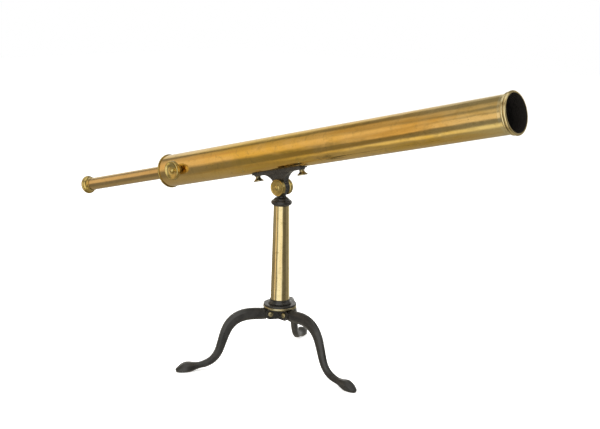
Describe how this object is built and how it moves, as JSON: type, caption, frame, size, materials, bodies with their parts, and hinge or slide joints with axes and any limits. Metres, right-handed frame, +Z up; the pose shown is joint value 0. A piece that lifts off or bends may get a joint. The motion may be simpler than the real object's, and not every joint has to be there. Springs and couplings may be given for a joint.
{
  "type": "brass table telescope on folding tripod",
  "caption": "Brass refracting telescope with rack focusing drawtube, on a tilting and swivelling brass pillar with folding cabriole iron legs.",
  "frame": {"origin": "on the table under the middle of the whole object", "axes": "+X the way the tube points, seen from above; +Z up; the focus knob is on the -Y side"},
  "size_m": [1.3172, 0.4351, 0.6992],
  "materials": {
    "brass": "polished, lacquered and lightly aged",
    "black_iron": "black bronzed, satin",
    "steel": "bright turned",
    "blackened": "matt black optical paint",
    "glass": "polished",
    "leather": "oiled",
    "foil": "thin bright foil"
  },
  "bodies": {
    "stand": {"pillar": "brass", "top_plug": "brass", "azimuth_screw": "brass", "pillar_foot": "black_iron", "base_plate": "black_iron", "base_ring": "brass", "hub": "black_iron", "leg_pins": "brass", "leg_pin_nuts": "brass", "tie_rod": "steel", "tie_nut": "steel"},
    "leg_left": {"leg_left": "black_iron"},
    "leg_right": {"leg_right": "black_iron"},
    "leg_rear": {"leg_rear": "black_iron"},
    "head": {"head": "black_iron"},
    "telescope": {"cradle": "black_iron", "altitude_bolt": "brass", "altitude_nut": "brass", "friction_washers": "leather", "saddle": "black_iron", "saddle_liner": "brass", "saddle_screws": "brass", "main_tube": "brass", "mouth_ring": "brass", "objective_cell": "blackened", "flint_lens": "glass", "crown_lens": "glass", "lens_spacers": "foil", "lens_ring": "brass", "front_stop": "blackened", "middle_stop": "blackened", "eye_end_cap": "brass", "guide_sleeve": "brass", "gland_collar": "brass", "pinion_housing": "brass", "housing_screws": "brass"},
    "draw": {"drawtube": "brass", "rack": "brass", "eyepiece_mount": "brass", "eye_cap": "brass", "eye_lens": "glass", "field_lens": "glass", "field_stop": "blackened", "erector_tube": "blackened", "erector_lens_rear": "glass", "erector_lens_front": "glass", "erector_stop": "blackened"},
    "focus": {"pinion": "steel", "focus_knob": "brass", "knob_nut": "brass"},
    "thumb_front": {"thumbscrew_front": "brass"},
    "thumb_rear": {"thumbscrew_rear": "brass"}
  },
  "joints": [
    {"name": "fold_left", "type": "hinge", "parent": "stand", "child": "leg_left", "pos_m": [0.04206, -0.02782, 0.129], "axis": [0.8329, -0.5534, 0], "range_deg": [0, 54]},
    {"name": "fold_right", "type": "hinge", "parent": "stand", "child": "leg_right", "pos_m": [0.0808, -0.00927, 0.129], "axis": [0.0906, 0.9959, 0], "range_deg": [0, 54]},
    {"name": "fold_rear", "type": "hinge", "parent": "stand", "child": "leg_rear", "pos_m": [0.04486, 0.01543, 0.129], "axis": [-0.8973, -0.4415, 0], "range_deg": [0, 54]},
    {"name": "azimuth", "type": "hinge", "parent": "stand", "child": "head", "pos_m": [0.0559, -0.007, 0.388], "axis": [0, 0, 1], "continuous": true},
    {"name": "tilt", "type": "hinge", "parent": "head", "child": "telescope", "pos_m": [0.0559, -0.007, 0.4309], "axis": [0, -1, 0], "range_deg": [-30, 21]},
    {"name": "focus_slide", "type": "slide", "parent": "telescope", "child": "draw", "axis": [-0.9716, 0, -0.2367], "range_m": [-0.05, 0.06]},
    {"name": "focus_turn", "type": "hinge", "parent": "telescope", "child": "focus", "pos_m": [-0.25493, -0.007, 0.4368], "axis": [0, 1, 0], "range_deg": [-480, 575]},
    {"name": "thumb_front_turn", "type": "hinge", "parent": "telescope", "child": "thumb_front", "pos_m": [0.116, -0.007, 0.4757], "axis": [-0.2367, 0, 0.9716], "range_deg": [0, 1080]},
    {"name": "thumb_rear_turn", "type": "hinge", "parent": "telescope", "child": "thumb_rear", "pos_m": [-0.01807, -0.007, 0.44304], "axis": [-0.2367, 0, 0.9716], "range_deg": [0, 1080]}
  ],
  "couplings": [
    {"joint": "focus_turn", "follows": "focus_slide", "rad_per_m": 166.67}
  ]
}
